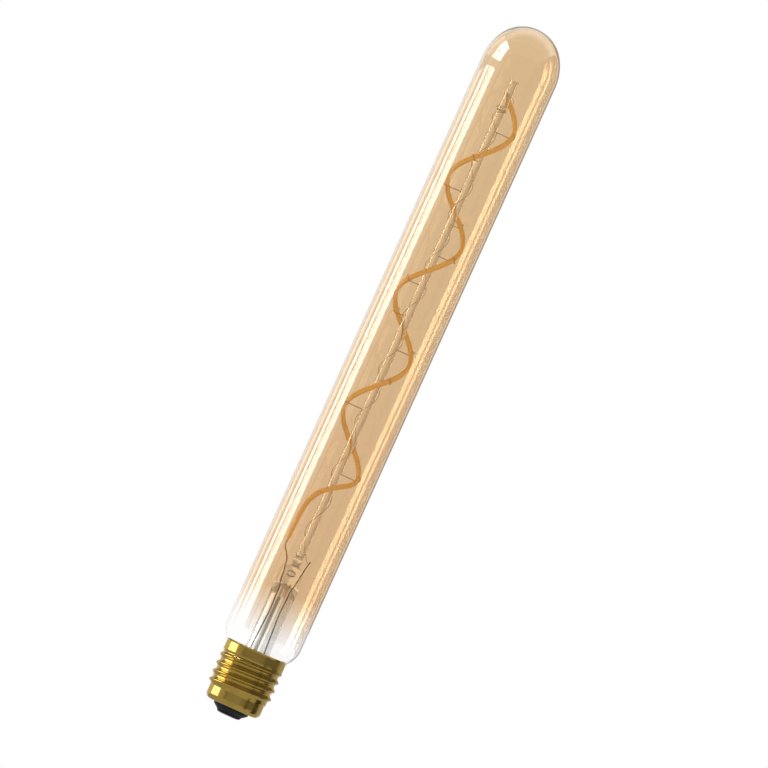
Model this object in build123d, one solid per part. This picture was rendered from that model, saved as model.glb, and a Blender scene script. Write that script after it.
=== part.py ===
from build123d import *
import math
import os

# Tubular LED filament lamp with a screw cap, in millimetres.
# The axis is Z with the dome up, and the origin is on the axis at the face of the centre contact.
# The exhaust hole in the pinch looks towards -Y, and the strip's straight tail is on the -X side.

# Glass tube
overall_length = 300.0
tube_dia = 32.0
tip_step = 1.0
dome_step = 6.0
glass_wall = 1.0
shoulder_radius = 11.0
shoulder_steps = 3
neck_depth = 10.6

# Screw cap
thread_dia = 26.4
thread_depth = 1.1
thread_pitch = 3.629
thread_turns = 4.25
thread_run_out = 0.5
collar_height = 4.2
collar_step = 0.4
lip_height = 0.8
lip_flare = 0.3
band_height = 3.2
band_step = 0.4
corner_radius = 2.3
shell_wall = 0.35
mouth_dia = 15.0
neck_gap = 0.45
shell_sides = 24
rings_per_turn = 6

# Insulator and centre contact
insulator_drop = 3.2
flange_step = 1.8
flange_height = 1.5
nose_dia = 10.0
nose_height = 0.9
contact_dia = 8.4
contact_height = 1.1
contact_proud = 0.3
contact_edge = 0.25

# Glass stem
stem_dia = 10.3
stem_wall = 0.9
stem_height = 28.7
flare_height = 9.0
press_height = 6.0
arch_share = 0.6
arch_taper = 0.3
oval_sides = 24
pinch_height = 7.4
pinch_width = 10.6
pinch_thickness = 4.2
pinch_round = 1.4
exhaust_dia = 3.4
exhaust_bore = 2.0
exhaust_drop = 3.4
vent_width = 2.9
vent_height = 2.0

# Support rod, part of the stem and open at its tip
rod_dia = 3.4
rod_wall = 0.5
rod_gap = 22.5
rod_edge = 0.15
root_dia = 4.8
root_height = 3.6
bead_dia = 4.0
upper_bead_drop = 12.2
lower_bead_rise = 5.8

# LED strip
strip_radius = 8.4
strip_turns = 3.25
strip_width = 2.0
strip_thickness = 1.5
strip_chamfer = 0.4
strip_top_drop = 7.2
strip_top_angle = 90.0
strip_steps = 72
tail_height = 32.0
tail_sweep = 150.0
tail_rise = 9.8
terminal_length = 2.2
terminal_width = 1.2
terminal_thickness = 0.5

# Wires, drawn with six flat sides
wire_sides = 6
lead_dia = 0.5
lead_bend = 3.0
lead_gap = 0.3
lead_margin = 1.4
lead_top = 4.7
lead_lean = 0.9
lead_overlap = 2.5
return_dia = 0.25
return_gap = 0.5
return_ease = 3.0
return_pitch = 22.0
return_join = 0.75
return_steps = 84
support_dia = 0.3
support_count = 12
support_top_drop = 13.6
support_end_rise = 0.6
support_depth = 0.35
hook_gap = 0.15

# Driver in the cap
board_width = 16.0
board_height = 7.8
board_thickness = 1.0
board_seat = 0.8
capacitor_dia = 5.6
capacitor_length = 8.0
rectifier_size = 4.0
rectifier_height = 1.8
chip_width = 3.0
chip_length = 4.6
chip_height = 1.4
fuse_dia = 2.2
fuse_length = 5.6

# Clearances
seal_gap = 0.03
wire_gap = 0.04
part_gap = 0.1

# Radii and levels that follow
crest_radius = thread_dia / 2
root_radius = crest_radius - thread_depth
mean_radius = crest_radius - thread_depth / 2
collar_radius = crest_radius - collar_step
band_radius = root_radius - band_step
bore_radius = band_radius - shell_wall
neck_radius = bore_radius - neck_gap
flat_share = math.cos(math.pi / shell_sides)
seat_radius = (collar_radius - shell_wall + lip_flare) * flat_share - seal_gap
tube_radius = tube_dia / 2
tip_radius = tube_radius - tip_step
dome_radius = tube_radius + dome_step

tip_level = overall_length - tip_radius
tip_rise = math.sqrt((dome_step + tip_step) ** 2 - dome_step ** 2)
tip_angle = math.degrees(math.atan2(tip_rise, dome_step))
dome_level = tip_level - tip_rise

nose_level = contact_proud
shell_level = nose_level + insulator_drop
thread_level = shell_level + corner_radius + band_height
collar_level = thread_level + thread_turns * thread_pitch
rim_level = collar_level + collar_height
neck_level = rim_level - neck_depth

seat_angle = math.acos(1 - (tube_radius - seat_radius) / shoulder_radius)
shoulder_level = rim_level + shoulder_radius * math.sin(seat_angle)
cavity_level = rim_level + stem_height
pinch_level = cavity_level + pinch_height
rod_level = overall_length - rod_gap
strip_level = rod_level - strip_top_drop
tail_end = pinch_level + tail_rise
tail_level = tail_end + tail_height
strip_pitch = (strip_level - tail_level) / strip_turns
tail_ease = 0.325 * tail_height

flange_level = shell_level + shell_wall + seal_gap
flange_top = flange_level + flange_height
board_level = flange_top - board_seat + part_gap
board_top = board_level + board_height
board_face = lead_dia / 2 + wire_gap


def point(radius, angle, z):
    turn = math.radians(angle)
    return Vector(radius * math.cos(turn), radius * math.sin(turn), z)


def ease(value):
    share = max(0.0, min(1.0, value))
    return share * share * (3 - 2 * share)


def turned(edges):
    return revolve(make_face(Plane.XZ * Curve(edges)), Axis.Z)


def turned_outline(*corners):
    return revolve(make_face(Plane.XZ * Polyline(*corners, close=True)), Axis.Z)


def bent_wire(points, dia, bend=0.0, sides=wire_sides):
    path = FilletPolyline(*points, radius=bend) if bend else Polyline(*points)
    section = Plane(path @ 0, z_dir=path % 0) * RegularPolygon(dia / 2, sides)
    return sweep(section, path, transition=Transition.RIGHT)


# A section skinned along path(z), with its x side away from the axis
def skinned(path, section, low, high, count):
    slices = []
    for i in range(count + 1):
        z = low + (high - low) * i / count
        slices.append(square_to(path, z) * section)
    return loft(slices, ruled=True)


def square_to(path, z):
    small = 0.01
    here = path(z)
    return Plane(here, x_dir=(here.X, here.Y, 0), z_dir=path(z + small) - path(z - small))


# Corners of one side of the tube's wall: straight tube, shoulder in flat cones, cone and neck
def tube_corners(inset):
    shoulder = shoulder_radius - inset
    corners = [(tube_radius - inset, dome_level)]
    for i in range(shoulder_steps + 1):
        turn = seat_angle * i / shoulder_steps
        corner_x = tube_radius - shoulder_radius + shoulder * math.cos(turn)
        corners.append((corner_x, shoulder_level - shoulder * math.sin(turn)))
    neck = neck_radius - inset
    cone_drop = (corners[-1][0] - neck) / math.tan(seat_angle)
    corners.append((neck, corners[-1][1] - cone_drop))
    corners.append((neck, neck_level))
    return corners


# The dome is a small tip arc and a wider side arc; its inside is drawn in flat cones
def glass_envelope():
    side_x = tube_radius - dome_radius
    tip = CenterArc((0, tip_level), tip_radius, tip_angle, 90 - tip_angle)
    side = CenterArc((side_x, dome_level), dome_radius, 0, tip_angle)
    inner_tip = CenterArc((0, tip_level), tip_radius - glass_wall, tip_angle, 90 - tip_angle)
    inner_side = CenterArc((side_x, dome_level), dome_radius - glass_wall, 0, tip_angle)
    inside = [inner_tip @ 1, inner_tip @ (2 / 3), inner_tip @ (1 / 3), inner_tip @ 0, inner_side @ 0]
    outside = tube_corners(0)
    inside += tube_corners(glass_wall)[1:]
    top = Line((0, overall_length), inside[0])
    mouth = Line(outside[-1], inside[-1])
    return turned([tip, side, Polyline(*outside), Polyline(*inside), top, mouth])


def shell_ring(radius, z, offset=0.0, turn=0.0):
    return Pos(point(offset, 360 * turn, z)) * RegularPolygon(radius, shell_sides)


# Rings whose centre winds round the axis leave a round thread, which runs out at both ends
def thread_rings():
    count = math.ceil(thread_turns * rings_per_turn)
    rings = []
    for i in range(count + 1):
        turn = thread_turns * i / count
        start = ease(turn / thread_run_out)
        finish = ease((thread_turns - turn) / thread_run_out)
        radius = band_radius + (mean_radius - band_radius) * start
        radius += (collar_radius - mean_radius) * (1 - finish)
        offset = thread_depth / 2 * start * finish
        rings.append(shell_ring(radius, thread_level + thread_pitch * turn, offset, turn))
    return rings


def shell_outside():
    rings = []
    for i in range(4):
        angle = math.radians(30 * i)
        radius = band_radius - corner_radius * (1 - math.sin(angle))
        rings.append(shell_ring(radius, shell_level + corner_radius * (1 - math.cos(angle))))
    rings += thread_rings()
    rings.append(shell_ring(collar_radius, rim_level - lip_height))
    rings.append(shell_ring(collar_radius + lip_flare, rim_level))
    return loft(rings, ruled=True)


def shell_inside():
    corner = corner_radius - shell_wall
    return loft([
        shell_ring(bore_radius - corner, shell_level + shell_wall),
        shell_ring(bore_radius, shell_level + shell_wall + corner),
        shell_ring(bore_radius, collar_level),
        shell_ring(collar_radius - shell_wall, collar_level + shell_wall),
        shell_ring(collar_radius - shell_wall, rim_level - lip_height),
        shell_ring(collar_radius - shell_wall + lip_flare, rim_level),
    ], ruled=True)


def screw_shell():
    mouth = Pos(0, 0, shell_level) * Cylinder(mouth_dia / 2, 4 * shell_wall)
    return shell_outside() - shell_inside() - mouth


def insulator():
    neck = mouth_dia / 2 - seal_gap
    cone_height = insulator_drop - nose_height
    cone_angle = math.degrees(math.atan2((neck - nose_dia / 2) * flat_share, cone_height))
    body = extrude(shell_ring(nose_dia / 2, nose_level), nose_height)
    body += extrude(shell_ring(nose_dia / 2, nose_level + nose_height), cone_height, taper=-cone_angle)
    body += extrude(shell_ring(neck, shell_level), flange_level - shell_level)
    body += extrude(shell_ring(neck + flange_step, flange_level), flange_height)
    seat = Pos(0, 0, nose_level) * Cylinder(
        contact_dia / 2 + seal_gap, 2 * (contact_height - contact_proud + seal_gap)
    )
    wire_hole = Cylinder(lead_dia / 2 + wire_gap, 3 * flange_top)
    slot_depth = board_thickness + 2 * part_gap
    slot = Pos(0, board_face + board_thickness / 2, flange_top) * Box(
        2 * mouth_dia, slot_depth, 2 * board_seat
    )
    return body - seat - wire_hole - slot


def centre_contact():
    side = contact_dia / 2
    return turned_outline(
        (0, 0), (side - contact_edge, 0), (side, contact_edge), (side, contact_height), (0, contact_height)
    )


# Flare and tube of the stem
def stem_tube(inset):
    side = stem_dia / 2 - inset
    wide = neck_radius - glass_wall - seal_gap - inset
    press_level = cavity_level - press_height
    return turned_outline(
        (0, neck_level), (wide, neck_level), (side, neck_level + flare_height), (side, press_level),
        (0, press_level),
    )


def oval_ring(width, depth, z):
    corners = []
    for i in range(oval_sides):
        turn = 2 * math.pi * i / oval_sides
        corners.append((width * math.cos(turn), depth * math.sin(turn)))
    return Pos(0, 0, z) * make_face(Polyline(*corners, close=True))


def stem_press():
    low = cavity_level - press_height
    side = stem_dia / 2
    return loft([
        oval_ring(side, side, low),
        oval_ring(pinch_width / 2, (pinch_thickness + stem_wall) / 2, cavity_level),
    ], ruled=True)


def stem_arch():
    low = cavity_level - press_height
    side = stem_dia / 2 - stem_wall
    depth = (side + pinch_thickness / 2 - stem_wall) / 2
    return loft([
        oval_ring(side, side, low),
        oval_ring(side - arch_taper, depth, low + arch_share * press_height),
        oval_ring(side / 2, pinch_thickness / 4, cavity_level),
    ], ruled=True)


def pinch():
    outline = RectangleRounded(pinch_width, pinch_height + pinch_round, pinch_round)
    middle = Plane.XZ * Pos(0, pinch_level - (pinch_height + pinch_round) / 2) * outline
    return extrude(middle, pinch_thickness / 2, both=True)


def support_rod():
    root = pinch_level - pinch_round / 2
    rod = Pos(0, 0, root) * Cylinder(
        rod_dia / 2, rod_level - root, align=(Align.CENTER, Align.CENTER, Align.MIN)
    )
    rod = chamfer(rod.edges().sort_by(Axis.Z)[-1], rod_edge)
    foot = Pos(0, 0, root) * Cone(
        root_dia / 2, rod_dia / 2, root_height, align=(Align.CENTER, Align.CENTER, Align.MIN)
    )
    upper_bead = Pos(0, 0, rod_level - upper_bead_drop) * Sphere(bead_dia / 2)
    bore_level = pinch_level + lower_bead_rise
    lower_bead = Pos(0, 0, bore_level) * Sphere(bead_dia / 2)
    bore = Pos(0, 0, bore_level) * Cylinder(
        rod_dia / 2 - rod_wall, rod_level - bore_level, align=(Align.CENTER, Align.CENTER, Align.MIN)
    )
    return rod + foot + upper_bead + lower_bead - bore


def glass_stem():
    tip = neck_level - exhaust_drop
    vent_level = pinch_level - pinch_height / 2
    body = stem_tube(0) - stem_tube(stem_wall) + (stem_press() - stem_arch()) + pinch()
    exhaust = Pos(0, 0, tip) * Cylinder(
        exhaust_dia / 2, cavity_level + pinch_round - tip, align=(Align.CENTER, Align.CENTER, Align.MIN)
    )
    bore = Pos(0, 0, tip + exhaust_bore) * Cylinder(
        exhaust_bore / 2, vent_level - tip - exhaust_bore, align=(Align.CENTER, Align.CENTER, Align.MIN)
    )
    vent_face = Plane.XZ * Pos(0, vent_level) * SlotOverall(vent_width, vent_height)
    vent = extrude(vent_face, pinch_thickness)
    body = body + exhaust + support_rod() - bore - vent
    for side in (-1, 1):
        body -= lead_wire(side, 2 * wire_gap)
    for i in range(support_count):
        body -= bent_wire(support_route(i)[:2], support_dia + 2 * wire_gap)
    return body


# Angle of the strip at a level: an even helix, then a tail that swings over and hangs straight
def strip_angle(z):
    if z > tail_level:
        return strip_top_angle - 360 * (strip_level - z) / strip_pitch
    tail_angle = strip_top_angle - 360 * strip_turns
    return tail_angle - tail_sweep * math.tanh((tail_level - z) / tail_ease)


def strip_path(z):
    return point(strip_radius, strip_angle(z), z)


def led_filament():
    section = Rectangle(strip_thickness, strip_width)
    section = chamfer(section.vertices().sort_by(Axis.X)[-2:], strip_chamfer)
    return skinned(strip_path, section, tail_end, strip_level, strip_steps)


def terminal_plane(z, outward):
    end = square_to(strip_path, z)
    return end * Pos(0, 0, outward * (terminal_length / 2 + part_gap))


def terminal(z, outward):
    return terminal_plane(z, outward) * Box(terminal_thickness, terminal_width, terminal_length)


def lead_wire(side, extra=0.0):
    board_x = side * (exhaust_dia / 2 + 4 * lead_gap + lead_dia)
    middle_x = side * (exhaust_dia / 2 + lead_gap + lead_dia / 2)
    pinch_x = side * (pinch_width / 2 - lead_margin)
    route = [
        (board_x, 0, board_top - lead_overlap),
        (board_x, 0, neck_level + flare_height / 2),
        (middle_x, 0, cavity_level - 2 * press_height),
        (middle_x + lead_lean / 2 * side, 0, cavity_level - press_height / 2),
        (pinch_x, 0, pinch_level),
        (pinch_x + lead_lean * side, 0, pinch_level + lead_top),
    ]
    if side < 0:
        foot = terminal_plane(tail_end, -1) * Pos(0, 0, -terminal_length / 2 - lead_dia)
        route[-1] = (pinch_x + lead_lean / 2 * side, 0, pinch_level + lead_top / 2)
        route.append(foot.position)
    return bent_wire(route, lead_dia + extra, lead_bend)


# The return wire gains a third of a turn on the strip between supports, so it never meets one,
# and winds on evenly from the first and the last of them to its two ends
def return_angle(z):
    first = strip_level - support_top_drop
    last = tail_level + support_end_rise
    level = max(last, min(first, z))
    angle = strip_angle(level) + 60 + 120 * (level - first) / support_spacing()
    end = return_top() if z > first else return_low()
    span = end.Z - level
    end_angle = math.degrees(math.atan2(end.Y, end.X))
    end_angle += 360 * round((angle - end_angle) / 360 + span / return_pitch)
    return angle + (end_angle - angle) * (z - level) / span


def return_path(z):
    top = return_top()
    low = return_low()
    clear = rod_dia / 2 + return_gap + return_dia / 2
    near_top = math.exp((z - top.Z) / return_ease)
    near_low = math.exp((low.Z - z) / return_ease)
    radius = clear + (math.hypot(top.X, top.Y) - clear) * near_top + (low.X - clear) * near_low
    return point(radius, return_angle(z), z)


def return_top():
    rise = terminal_length / 2 + 2 * return_dia
    return (terminal_plane(strip_level, 1) * Pos(0, 0, rise)).position


def return_low():
    lead_x = pinch_width / 2 - lead_margin + lead_lean * return_join
    beside = lead_dia / 2 + return_dia / 2 + part_gap
    return Vector(lead_x - beside, 0, pinch_level + lead_top * return_join)


def return_wire():
    low = return_low().Z
    rise = (return_top().Z - low) / return_steps
    return bent_wire([return_path(low + rise * i) for i in range(return_steps + 1)], return_dia, sides=4)


def support_spacing():
    return (strip_level - support_top_drop - tail_level - support_end_rise) / (support_count - 1)


# Out of the rod beside the strip, over its outer face and back on the other side
def support_route(i):
    z = strip_level - support_top_drop - i * support_spacing()
    plane = square_to(strip_path, z)
    beside = strip_width / 2 + hook_gap + support_dia / 2
    outside = strip_thickness / 2 + hook_gap + support_dia / 2
    near = plane.from_local_coords((outside, beside, 0))
    far = plane.from_local_coords((outside, -beside, 0))
    tip = plane.from_local_coords((-strip_thickness / 4, -beside, 0))
    reach = math.hypot(near.X, near.Y)
    inner = (rod_dia / 2 - support_depth) / reach
    return [Vector(near.X * inner, near.Y * inner, near.Z), near, far, tip]


def support_wire(i):
    return bent_wire(support_route(i), support_dia)


def driver_board():
    return Pos(0, board_face + board_thickness / 2, board_level + board_height / 2) * Box(
        board_width, board_thickness, board_height
    )


def on_front(part, x, z, depth):
    return Pos(x, board_face - wire_gap - depth / 2, z) * part


def on_back(part, x, z, depth):
    return Pos(x, board_face + board_thickness + wire_gap + depth / 2, z) * part


def driver_pieces():
    middle = board_level + board_height / 2
    low = flange_top + part_gap
    capacitor = Rot(0, 90, 0) * Cylinder(capacitor_dia / 2, capacitor_length)
    rectifier = Box(rectifier_size, rectifier_height, rectifier_size)
    chip = Box(chip_width, chip_height, chip_length)
    fuse = Rot(0, 90, 0) * Cylinder(fuse_dia / 2, fuse_length)
    capacitor_x = -chip_width / 2
    chip_x = (capacitor_length + part_gap) / 2
    rectifier_x = lead_dia + rectifier_size / 2 + part_gap
    fuse_x = -lead_dia - fuse_length / 2 - part_gap
    return {
        "driver_board": driver_board(),
        "smoothing_capacitor": on_back(capacitor, capacitor_x, low + capacitor_dia / 2, capacitor_dia),
        "driver_chip": on_back(chip, chip_x, middle, chip_height),
        "bridge_rectifier": on_front(rectifier, rectifier_x, low + rectifier_size / 2, rectifier_height),
        "fuse_resistor": on_front(fuse, fuse_x, low + fuse_dia / 2, fuse_dia),
    }


def contact_wire():
    return bent_wire([(0, 0, contact_height + seal_gap), (0, 0, board_level + board_height / 2)], lead_dia)


def shell_wire():
    level = board_top - lead_dia
    inner = board_width / 2 - lead_overlap
    return bent_wire([(inner, 0, level), (bore_radius - part_gap, 0, level)], lead_dia)


def lamp():
    pieces = {
        "glass_envelope": glass_envelope(),
        "glass_stem": glass_stem(),
        "led_filament": led_filament(),
        "filament_upper_terminal": terminal(strip_level, 1),
        "filament_lower_terminal": terminal(tail_end, -1),
        "left_lead_wire": lead_wire(-1),
        "right_lead_wire": lead_wire(1),
        "return_wire": return_wire(),
        "screw_shell": screw_shell(),
        "insulator": insulator(),
        "centre_contact": centre_contact(),
        "contact_wire": contact_wire(),
        "shell_wire": shell_wire(),
    }
    pieces.update(driver_pieces())
    for i in range(support_count):
        pieces[f"support_wire_{i + 1:02d}"] = support_wire(i)
    return pieces


os.makedirs("parts", exist_ok=True)
for name, piece in lamp().items():
    export_step(piece, f"parts/{name}.step")
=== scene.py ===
import bpy
import numpy as np
from mathutils import Matrix


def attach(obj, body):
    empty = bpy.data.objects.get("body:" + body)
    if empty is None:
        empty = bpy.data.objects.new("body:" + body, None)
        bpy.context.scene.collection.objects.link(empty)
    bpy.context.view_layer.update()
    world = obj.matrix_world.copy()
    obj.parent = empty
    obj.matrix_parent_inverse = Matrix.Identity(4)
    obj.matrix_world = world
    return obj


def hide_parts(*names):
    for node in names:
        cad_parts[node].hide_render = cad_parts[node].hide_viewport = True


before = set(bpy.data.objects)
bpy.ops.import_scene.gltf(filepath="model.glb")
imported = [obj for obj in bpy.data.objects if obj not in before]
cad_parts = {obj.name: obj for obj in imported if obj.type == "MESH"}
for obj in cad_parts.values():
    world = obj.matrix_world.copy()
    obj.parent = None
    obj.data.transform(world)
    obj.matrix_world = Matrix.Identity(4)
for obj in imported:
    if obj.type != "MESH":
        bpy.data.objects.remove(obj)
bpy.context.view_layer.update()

scene = bpy.context.scene
tau = 2 * np.pi
mm = 0.001  # shapes are worked out in millimetres and scaled when their mesh is made

# levels on the lamp's axis above the centre contact, the same as the solids have
lamp = {"length": 300.0, "tubeRadius": 15.97, "shellLevel": 3.5, "threadLevel": 9.0, "rimLevel": 28.623,
        "neckLevel": 18.023, "cavityLevel": 57.323, "pinchLevel": 64.723, "rodLevel": 277.5}


# Shapes

def ease(value):  # smooth step, 3s^2 - 2s^3 between 0 and 1
    share = np.clip(value, 0, 1)
    return share * share * (3 - 2 * share)


def swell(value, middle, span):  # bell curve, exp(-((value - middle) / span)^2)
    return np.exp(-((value - middle) / span) ** 2)


def unit(vectors):  # each vector over its own length
    return vectors / np.linalg.norm(vectors, axis=-1, keepdims=True)


def polar(radius, angle, z):  # (radius cos angle, radius sin angle, z), the angle in degrees
    turn = np.radians(angle)
    return np.stack([radius * np.cos(turn), radius * np.sin(turn), z], -1)


def arc(centre, radius, start, stop, count):  # points of a circle between two angles in degrees
    turn = np.radians(np.linspace(start, stop, count))
    return np.stack([centre[0] + radius * np.cos(turn), centre[1] + radius * np.sin(turn)], -1)


def lathe(profile, around):  # each (radius, height) of the profile carried once round Z
    turn = np.linspace(0, tau, around, endpoint=False)
    radius, height = profile[:, :1], profile[:, 1:]
    return np.stack([radius * np.cos(turn), radius * np.sin(turn), height + 0 * turn], -1)


def squaredRadius(turn, width, depth, power):
    # superellipse by direction: (|cos / width|^power + |sin / depth|^power)^(-1 / power)
    return (np.abs(np.cos(turn) / width) ** power + np.abs(np.sin(turn) / depth) ** power) ** (-1 / power)


def squaredSection(width, depth, power, sides):  # one superellipse, flat
    turn = np.linspace(0, tau, sides, endpoint=False)
    radius = squaredRadius(turn, width, depth, power)
    return np.stack([radius * np.cos(turn), radius * np.sin(turn)], -1)


def roundSection(radius, sides):  # one circle, flat
    turn = np.linspace(0, tau, sides, endpoint=False)
    return radius * np.stack([np.cos(turn), np.sin(turn)], -1)


def sweep(path, section, outward):
    # a flat section carried along a path, its first side looking outward and its second across the path
    tangent = unit(np.gradient(path, axis=0))
    across = unit(np.cross(tangent, outward + 0 * path))
    first = np.cross(across, tangent)
    return path[:, None] + section[None, :, :1] * first[:, None] + section[None, :, 1:] * across[:, None]


def roundedRoute(corners, bend, steps):
    # straight runs between the corners, each corner eased by a parabola that starts one bend away from it
    corners = np.asarray(corners, float)
    runs = np.diff(corners, axis=0)
    lengths = np.linalg.norm(runs, axis=1, keepdims=True)
    ways = runs / lengths
    reach = np.minimum(bend, 0.45 * np.minimum(lengths[:-1], lengths[1:]))  # two bends fit in one run
    before, after = corners[1:-1] - ways[:-1] * reach, corners[1:-1] + ways[1:] * reach
    t = np.linspace(0, 1, steps)[None, :, None]
    bends = (1 - t) ** 2 * before[:, None] + 2 * t * (1 - t) * corners[1:-1, None] + t * t * after[:, None]
    return np.vstack([corners[:1], bends.reshape(-1, 3), corners[-1:]])


def skin(grid, loop=False, hollow=False):
    # quads over a grid closed round its columns, its end rows joined to each other or filled to a middle
    rows, around = grid.shape[:2]
    i = np.arange(rows if loop else rows - 1)[:, None] * around
    j = np.arange(around)
    k = (j + 1) % around
    up = (i + around) % (rows * around)
    points = grid.reshape(-1, 3)
    faces = [np.stack([i + j, i + k, up + k, up + j], -1).reshape(-1, 4)]
    if not loop:
        last, middle = (rows - 1) * around, rows * around
        points = np.vstack([points, grid[0].mean(0), grid[-1].mean(0)])
        faces.append(np.stack([middle + 0 * j, k, j], -1))
        faces.append(np.stack([middle + 1 + 0 * j, last + j, last + k], -1))
    volume = sum(np.einsum("ij,ij->", points[f[:, 0]], np.cross(points[f[:, n]], points[f[:, n + 1]]))
                 for f in faces for n in range(1, f.shape[1] - 1))
    if (volume < 0) != hollow:  # faces look out of a solid and into a hollow
        faces = [f[:, ::-1] for f in faces]
    return points, faces


def makePiece(name, shells, material, replaced, sharp=None):
    points, faces, start = [], [], 0
    for shellPoints, shellFaces in shells:
        points.append(shellPoints)
        for f in shellFaces:
            faces += (f + start).tolist()
        start += len(shellPoints)
    mesh = bpy.data.meshes.new(name)
    mesh.from_pydata((np.vstack(points) * mm).tolist(), [], faces)
    mesh.polygons.foreach_set("use_smooth", np.ones(len(mesh.polygons), bool))
    if sharp:
        mesh.set_sharp_from_angle(angle=np.radians(sharp))
    mesh.update()
    mesh.materials.append(material)
    piece = bpy.data.objects.new(name, mesh)
    scene.collection.objects.link(piece)
    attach(piece, "root")
    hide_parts(*replaced)
    print("piece", name, len(mesh.polygons), "faces")
    return piece


# Shaders

class Field:  # a socket that takes part in plain arithmetic
    def __init__(self, paint, socket):
        self.paint, self.socket = paint, socket

    def maths(self, operation, first, second):
        return self.paint.make("ShaderNodeMath", {"operation": operation}, {0: first, 1: second})

    def __add__(self, other):
        return self.maths("ADD", self, other)

    def __sub__(self, other):
        return self.maths("SUBTRACT", self, other)

    def __rsub__(self, other):
        return self.maths("SUBTRACT", other, self)

    def __mul__(self, other):
        return self.maths("MULTIPLY", self, other)

    def __gt__(self, other):
        return self.maths("GREATER_THAN", self, other)

    def __lt__(self, other):
        return self.maths("LESS_THAN", self, other)

    __radd__ = __add__
    __rmul__ = __mul__


class Paint:  # the nodes of one material, or of the world
    def __init__(self, name, world=None):
        owner = world or bpy.data.materials.new(name)
        owner.use_nodes = True
        self.owner, self.tree = owner, owner.node_tree
        self.tree.nodes.clear()

    def make(self, kind, settings=None, sockets=None, out=0):
        node = self.tree.nodes.new(kind)
        for key, value in (settings or {}).items():
            if key == "stops":
                while len(node.color_ramp.elements) < len(value):
                    node.color_ramp.elements.new(1)
                for stop, (place, colour) in zip(node.color_ramp.elements, value):
                    stop.position, stop.color = place, (*colour, 1)
            else:
                setattr(node, key, value)
        for key, value in (sockets or {}).items():
            if isinstance(value, Field):
                self.tree.links.new(value.socket, node.inputs[key])
            else:
                node.inputs[key].default_value = value
        return Field(self, node.outputs[out]) if node.outputs else self.owner

    def spot(self, scale=(1, 1, 1)):  # object coordinates, stretched
        place = self.make("ShaderNodeTexCoord", out="Object")
        return self.make("ShaderNodeMapping", None, {"Vector": place, "Scale": scale})

    def height(self):
        return self.make("ShaderNodeSeparateXYZ", None, {0: self.spot()}, out="Z")

    def attribute(self, name):
        return self.make("ShaderNodeAttribute", {"attribute_name": name}, out="Fac")

    def noise(self, scale, stretch=(1, 1, 1), detail=3.0):
        return self.make("ShaderNodeTexNoise", None,
                         {"Vector": self.spot(stretch), "Scale": scale, "Detail": detail})

    def ramp(self, value, *stops):
        return self.make("ShaderNodeValToRGB", {"stops": stops}, {0: value})

    def mottle(self, cloud, dark, light, edge=0.3):  # from dark to light over the middle of a noise
        return self.ramp(cloud, (edge, dark), (1 - edge, light))

    def spread(self, value, low, high, toLow=0.0, toHigh=1.0):
        return self.make("ShaderNodeMapRange", None, {0: value, 1: low, 2: high, 3: toLow, 4: toHigh})

    def polish(self, cloud, smooth, rough, edge=0.3):  # roughness that follows the middle of a noise
        return self.spread(cloud, edge, 1 - edge, smooth, rough)

    def blend(self, share, first, second):
        return self.make("ShaderNodeMix", {"data_type": "RGBA"}, {0: share, 6: first, 7: second}, out=2)

    def bump(self, height, strength, distance):
        sockets = {"Height": height, "Strength": strength, "Distance": distance}
        return self.make("ShaderNodeBump", None, sockets)

    def principled(self, **sockets):
        named = {key.replace("_", " "): value for key, value in sockets.items()}
        shader = self.make("ShaderNodeBsdfPrincipled", None, named)
        return self.make("ShaderNodeOutputMaterial", None, {"Surface": shader})


# Amber glass: the tint is deepest above the stem, eases towards the dome and runs out towards the cap
amber = {"deep": (0.86, 0.695, 0.512), "tint": (0.868, 0.718, 0.53), "clear": (0.995, 0.99, 0.985),
         "fadeLow": 0.034, "fadeHigh": 0.055, "easeHigh": 0.27, "waver": 0.08, "waverScale": 60.0, "ior": 1.5}


def amberGlass():
    paint = Paint("amberGlass")
    share = paint.spread(paint.height(), amber["fadeLow"], amber["fadeHigh"])
    share = share + (paint.noise(amber["waverScale"]) - 0.5) * amber["waver"]  # the dip line isn't quite even
    rise = paint.spread(paint.height(), amber["fadeHigh"], amber["easeHigh"])
    full = paint.ramp(rise, (0.0, amber["deep"]), (1.0, amber["tint"]))
    tint = paint.blend(share, (*amber["clear"], 1), full)
    return paint.principled(Base_Color=tint, Roughness=0.0, IOR=amber["ior"], Transmission_Weight=1.0)


# Clear glass of the stem, with faint drawn cords along it
stemGlass = {"dark": (0.93, 0.92, 0.9), "light": (0.97, 0.965, 0.95), "cordScale": 40.0,
             "cordStretch": (1, 1, 0.12), "cordEdge": 0.35, "rough": 0.03, "ior": 1.42}


def clearGlass():
    paint = Paint("clearGlass")
    cords = paint.noise(stemGlass["cordScale"], stemGlass["cordStretch"])
    tint = paint.mottle(cords, stemGlass["dark"], stemGlass["light"], stemGlass["cordEdge"])
    return paint.principled(Base_Color=tint, Roughness=stemGlass["rough"], IOR=stemGlass["ior"],
                            Transmission_Weight=1.0)


# Phosphor coat of the strip: its tone is a mottle and a faint wave over the row of chips below it, with a
# painted glow
phosphor = {"dark": (0.9, 0.52, 0.1), "light": (1.0, 0.68, 0.19), "paintedGlowDark": (0.9, 0.5, 0.16),
            "paintedGlowLight": (1.0, 0.66, 0.28), "glow": 0.27, "chipPitch": 1.5, "mottleScale": 900.0,
            "mottle": 0.6, "wave": 0.08, "level": 0.2, "rough": 0.55, "waveGrain": 0.25, "grain": 0.25,
            "grainDepth": 0.0002}


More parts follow.
